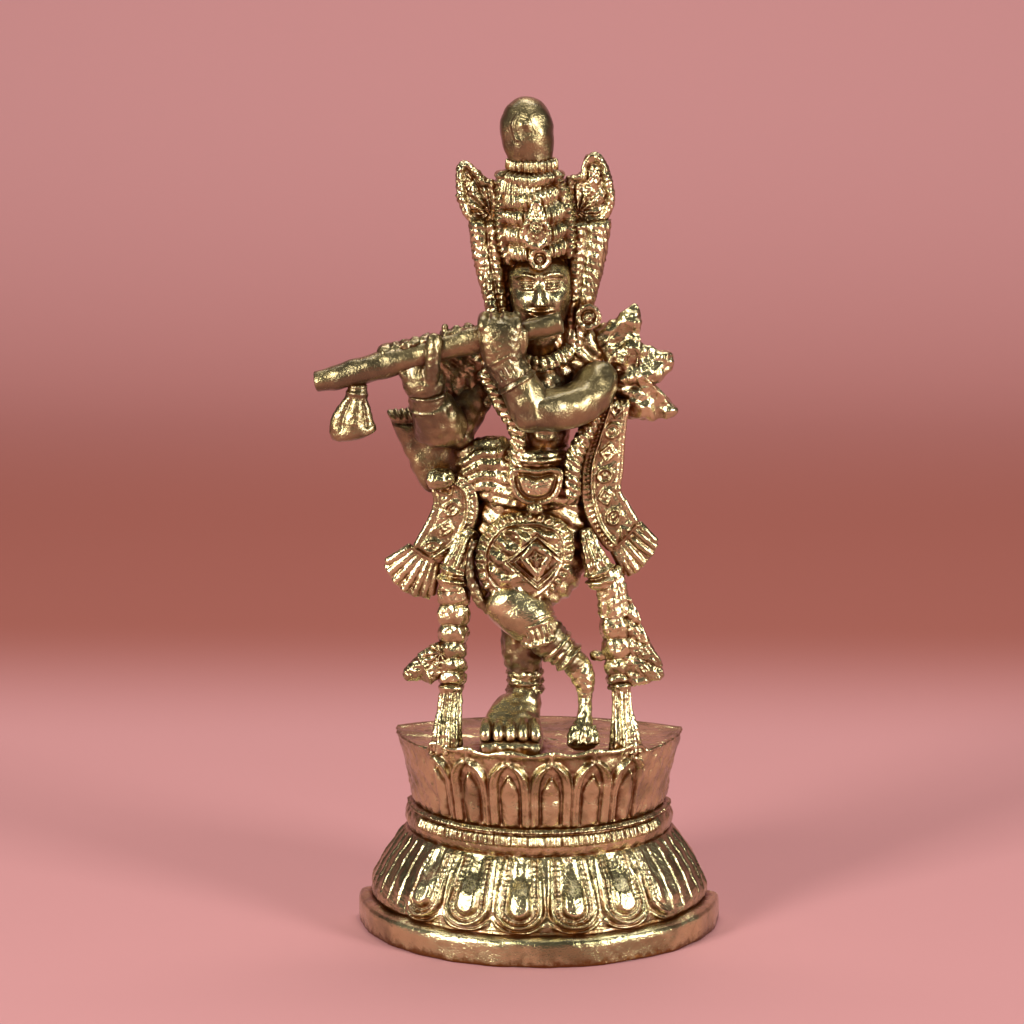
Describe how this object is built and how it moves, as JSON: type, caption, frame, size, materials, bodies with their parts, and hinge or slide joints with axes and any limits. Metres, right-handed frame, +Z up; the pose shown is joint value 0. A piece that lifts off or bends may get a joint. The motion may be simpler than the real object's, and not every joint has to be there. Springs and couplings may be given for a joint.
{
  "type": "deity statuette",
  "caption": "Small cast metal statuette of a crowned deity playing a side-blown flute, standing cross-legged on a double lotus pedestal.",
  "frame": {"origin": "on the surface the pedestal stands on, under the middle of the figure", "axes": "+Z up, the figure faces -Y, +X is the viewer's right when facing the figure"},
  "size_m": [0.0567, 0.0309, 0.1192],
  "materials": {
    "cast_gold": "gold lacquer over sand-textured cast brass, brown in the recesses",
    "smooth_gold": "gold lacquer over hand-smoothed cast brass, slightly pitted"
  },
  "bodies": {
    "root": {"flute": "smooth_gold", "left_foot": "smooth_gold", "right_foot": "smooth_gold", "right_column_tassel": "cast_gold", "left_column_tassel": "cast_gold", "foot_slab": "smooth_gold", "left_anklet": "cast_gold", "right_anklet": "cast_gold", "left_leg": "smooth_gold", "knee_hem": "cast_gold", "right_leg": "smooth_gold", "apron_clasp": "cast_gold", "belt_pendant": "cast_gold", "belt": "cast_gold", "apron_cord": "cast_gold", "apron": "cast_gold", "right_waist_tail": "cast_gold", "left_waist_tail": "cast_gold", "right_column": "cast_gold", "left_column": "cast_gold", "right_column_bow": "cast_gold", "left_column_flare": "cast_gold", "right_bracelet": "cast_gold", "left_bracelet": "cast_gold", "right_hand": "smooth_gold", "left_hand": "smooth_gold", "right_forearm": "smooth_gold", "left_forearm": "smooth_gold", "flute_tassel": "cast_gold", "right_arm": "smooth_gold", "left_arm": "smooth_gold", "right_garland": "cast_gold", "left_garland": "cast_gold", "right_sash": "cast_gold", "left_sash": "cast_gold", "right_sash_fan": "cast_gold", "left_sash_fan": "cast_gold", "elbow_drape": "cast_gold", "left_earring": "cast_gold", "brow_disc": "cast_gold", "crown_jewel": "cast_gold", "crown_finial": "smooth_gold", "crown_rings": "cast_gold", "crown": "cast_gold", "head": "smooth_gold", "necklace": "cast_gold", "right_wing": "cast_gold", "left_wing": "cast_gold", "right_hair": "cast_gold", "left_hair": "cast_gold", "shoulder_plume": "cast_gold", "torso": "cast_gold", "waist_cloth": "cast_gold", "dhoti": "cast_gold", "hair_back": "cast_gold", "upper_lotus": "cast_gold", "bead_ring": "cast_gold", "lower_lotus": "cast_gold", "plinth": "smooth_gold"}
  },
  "joints": []
}
